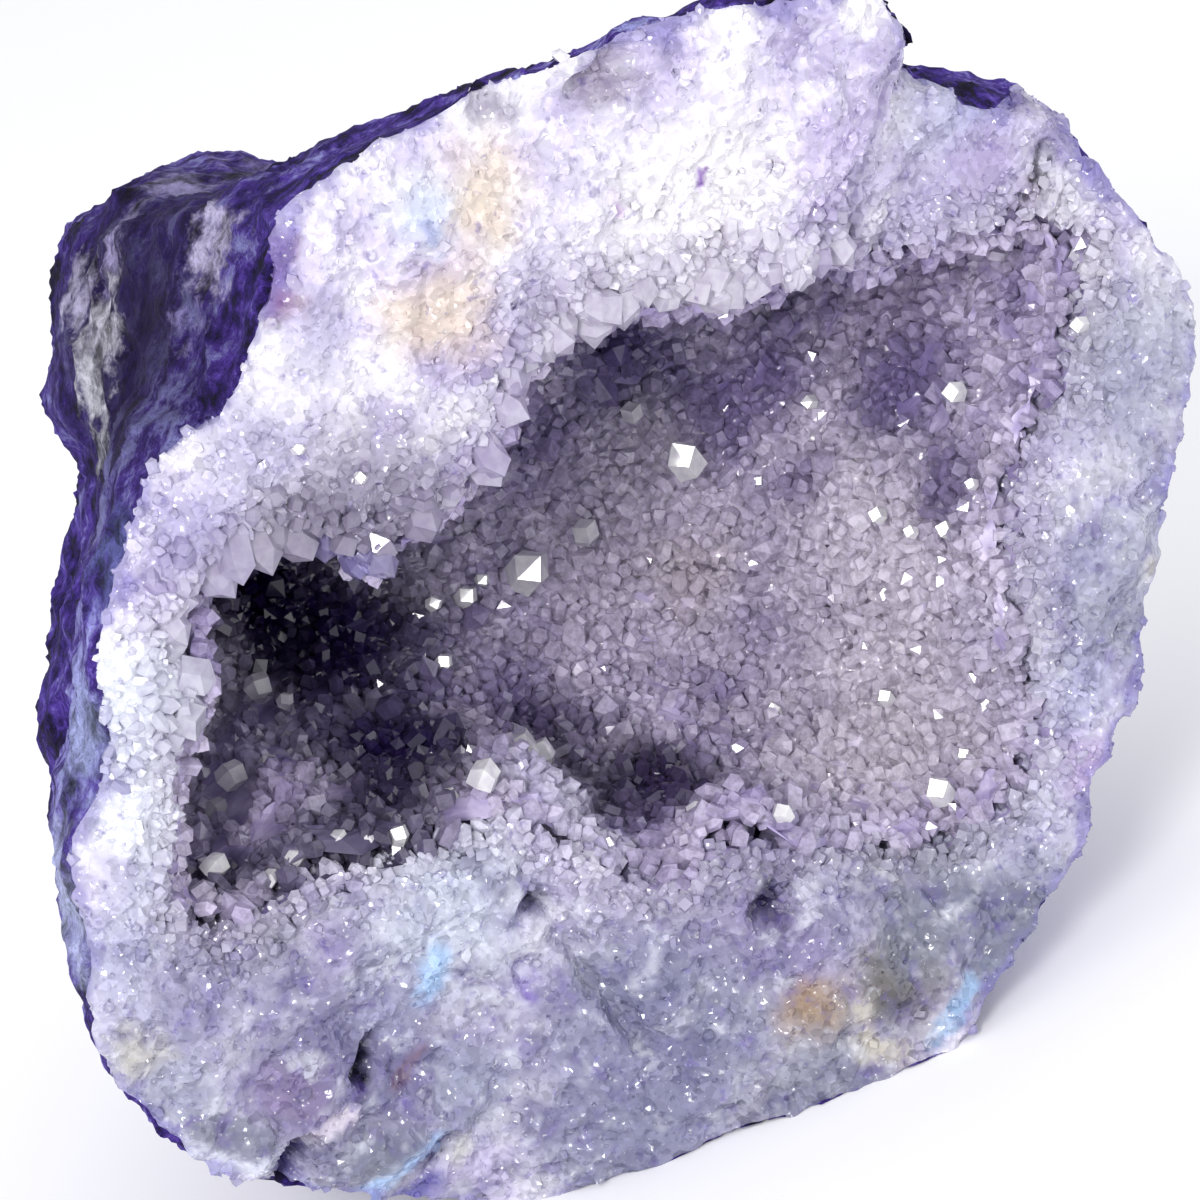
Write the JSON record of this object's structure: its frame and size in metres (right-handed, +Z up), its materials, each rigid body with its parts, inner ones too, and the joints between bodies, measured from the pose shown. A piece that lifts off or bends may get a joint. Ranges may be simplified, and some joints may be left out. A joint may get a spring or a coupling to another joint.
{
  "type": "geode half",
  "caption": "Half of a quartz geode with a lumpy violet rind, standing on a flat with its crystal-lined hollow facing forwards.",
  "frame": {"origin": "middle of the flat that the geode rests on", "axes": "+Z up, the broken face with its hollow looks towards -Y, +X to the right as seen from the front"},
  "size_m": [0.0788, 0.0486, 0.0672],
  "materials": {
    "stone": "matte",
    "crystal_crust": "gloss"
  },
  "bodies": {
    "root": {"stone": "stone", "crystal_crust": "crystal_crust"}
  },
  "joints": []
}
